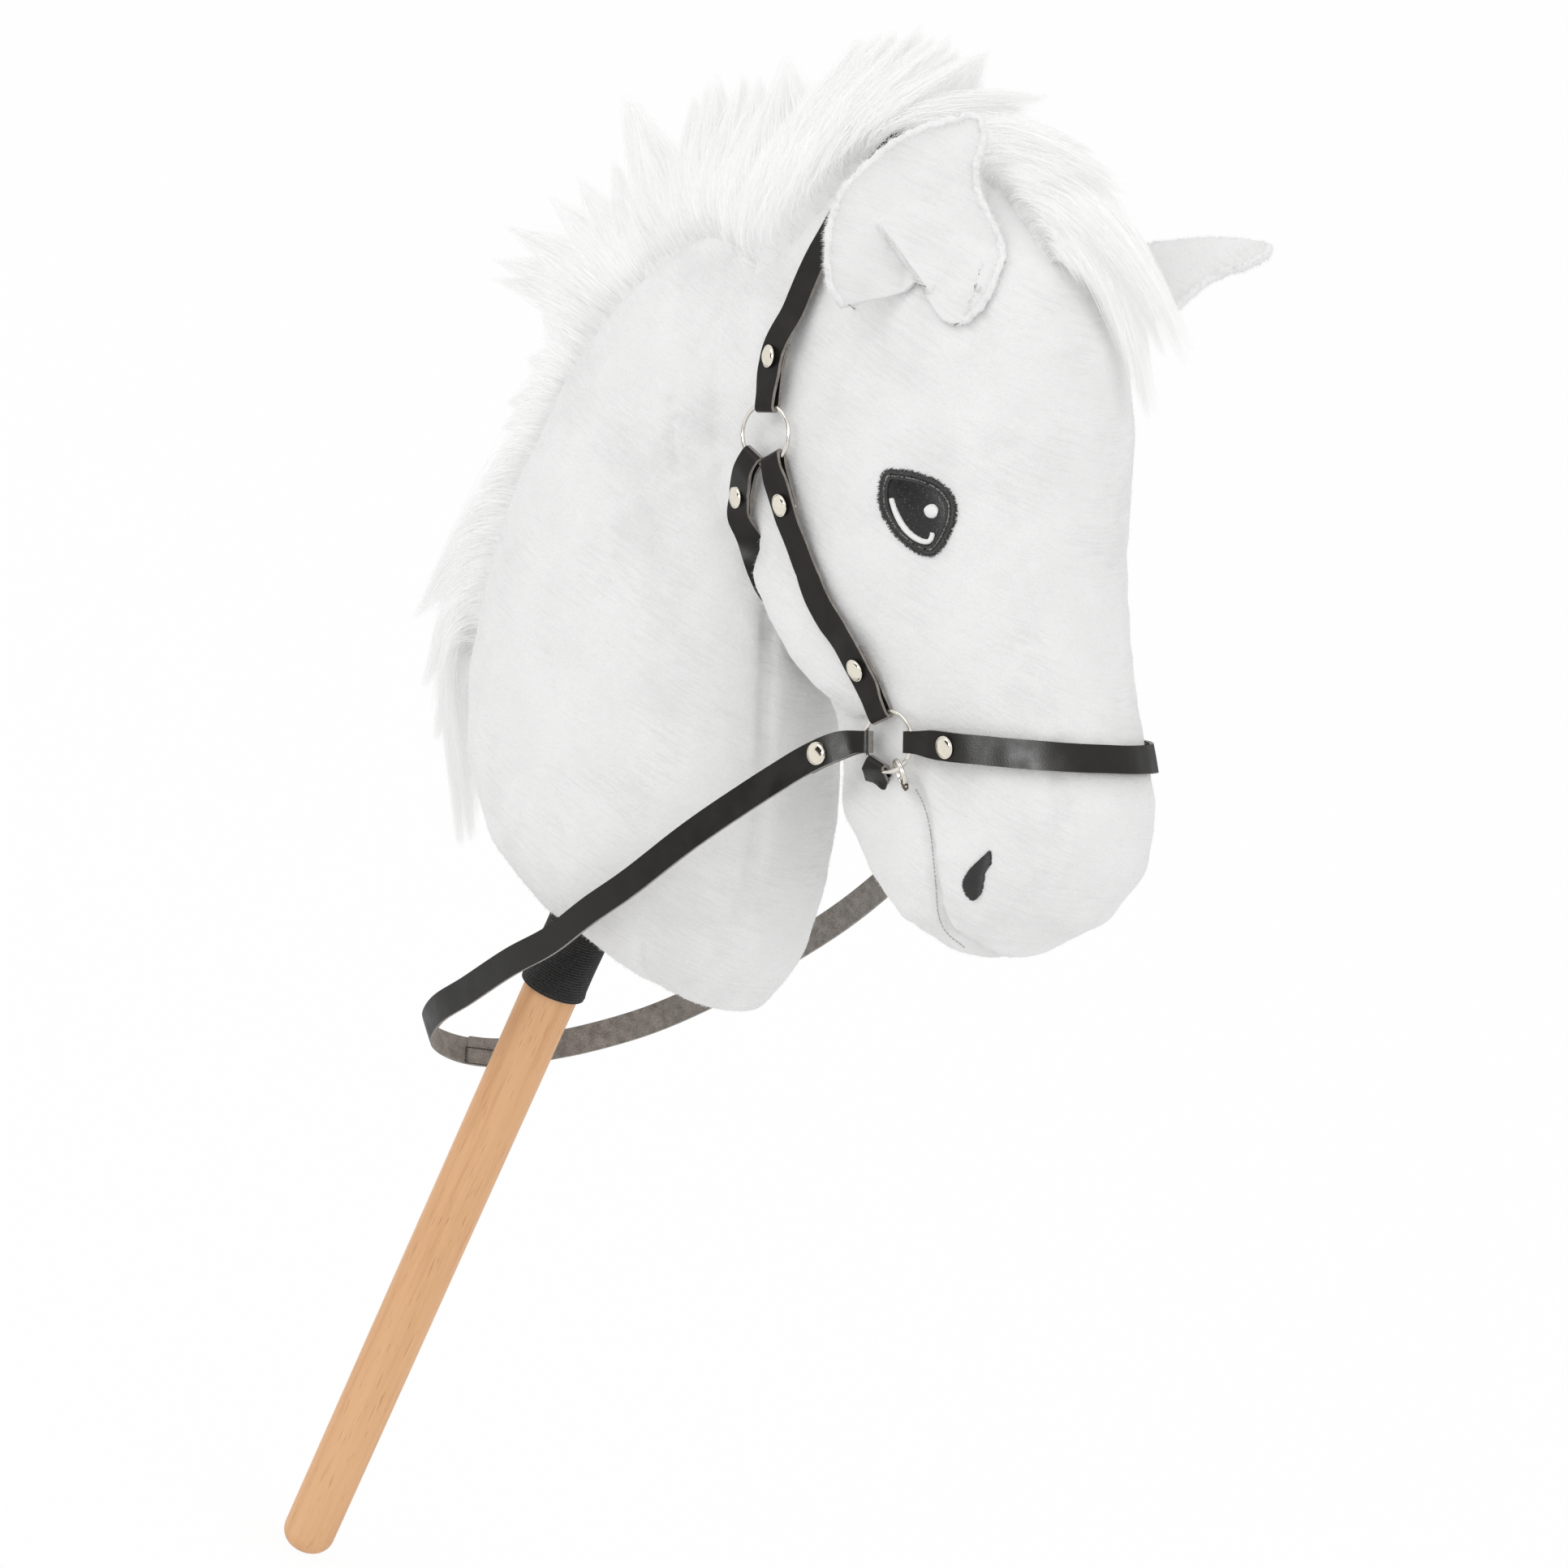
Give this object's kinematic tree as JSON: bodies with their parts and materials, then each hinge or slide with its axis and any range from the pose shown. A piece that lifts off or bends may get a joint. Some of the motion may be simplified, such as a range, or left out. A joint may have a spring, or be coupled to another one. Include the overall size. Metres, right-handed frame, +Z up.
{
  "type": "hobby horse",
  "caption": "Plush hobby horse: stuffed horse head and neck with mane, leather halter and looped rein on a short round wooden stick.",
  "frame": {"origin": "centre of the stick's foot", "axes": "+Z up along the stick, +X the way the horse faces, +Y to the horse's left"},
  "size_m": [0.4155, 0.1818, 0.7414],
  "materials": {
    "plush": "short white plush pile",
    "pile": "long white pile",
    "lining": "smooth short-napped lining",
    "filling": "loose polyester fibre",
    "wood": "sanded and lightly waxed",
    "cuff": "ribbed elastic",
    "plastic": "moulded",
    "leather": "satin outside, suede inside",
    "nickel": "polished nickel plate",
    "eye_black": "glossy leatherette",
    "black_thread": "satin stitch",
    "white_thread": "satin stitch"
  },
  "bodies": {
    "stick": {"stick": "wood"},
    "head": {"neck_cuff": "cuff", "socket_tube": "plastic", "socket_cap": "plastic", "face_gusset": "plush", "jaw_gusset": "plush", "chest_gusset": "plush", "neck_filling": "filling", "head_filling": "filling", "mane": "pile", "forelock": "pile", "crown_strap": "leather", "throat_strap": "leather", "noseband": "leather", "chin_strap": "leather", "head_side_right": "plush", "neck_side_right": "plush", "ear_right": "plush", "ear_lining_right": "lining", "eye_ring_right": "black_thread", "eye_patch_right": "eye_black", "eye_glint_right": "white_thread", "eye_dot_right": "white_thread", "nostril_right": "black_thread", "cheek_strap_right": "leather", "link_ring_right": "nickel", "crown_strap_rivet_right": "nickel", "throat_strap_rivet_right": "nickel", "noseband_rivet_right": "nickel", "chin_strap_rivet_right": "nickel", "cheek_rivet_upper_right": "nickel", "cheek_rivet_lower_right": "nickel", "head_side_left": "plush", "neck_side_left": "plush", "ear_left": "plush", "ear_lining_left": "lining", "eye_ring_left": "black_thread", "eye_patch_left": "eye_black", "eye_glint_left": "white_thread", "eye_dot_left": "white_thread", "nostril_left": "black_thread", "cheek_strap_left": "leather", "link_ring_left": "nickel", "crown_strap_rivet_left": "nickel", "throat_strap_rivet_left": "nickel", "noseband_rivet_left": "nickel", "chin_strap_rivet_left": "nickel", "cheek_rivet_upper_left": "nickel", "cheek_rivet_lower_left": "nickel"},
    "rein": {"rein_right": "leather", "rein_rivet_right": "nickel", "rein_left": "leather", "rein_rivet_left": "nickel"},
    "top_ring_right": {"top_ring_right": "nickel"},
    "bit_ring_right": {"bit_ring_right": "nickel"},
    "top_ring_left": {"top_ring_left": "nickel"},
    "bit_ring_left": {"bit_ring_left": "nickel"}
  },
  "joints": [
    {"name": "stick_slide", "type": "slide", "parent": "stick", "child": "head", "axis": [0, 0, 1], "range_m": [0, 0.17]},
    {"name": "top_ring_right_turn", "type": "hinge", "parent": "head", "child": "top_ring_right", "pos_m": [0.02881, -0.06124, 0.56765], "axis": [0, 1, 0], "continuous": true},
    {"name": "top_ring_left_turn", "type": "hinge", "parent": "head", "child": "top_ring_left", "pos_m": [0.02881, 0.06124, 0.56765], "axis": [0, 1, 0], "continuous": true},
    {"name": "bit_ring_right_turn", "type": "hinge", "parent": "head", "child": "bit_ring_right", "pos_m": [0.14245, -0.05038, 0.48684], "axis": [0, 1, 0], "continuous": true},
    {"name": "bit_ring_left_turn", "type": "hinge", "parent": "head", "child": "bit_ring_left", "pos_m": [0.14245, 0.05038, 0.48684], "axis": [0, 1, 0], "continuous": true},
    {"name": "rein_swing", "type": "hinge", "parent": "head", "child": "rein", "pos_m": [0.14245, 0, 0.48684], "axis": [0, 1, 0], "range_deg": [0, 12]}
  ]
}
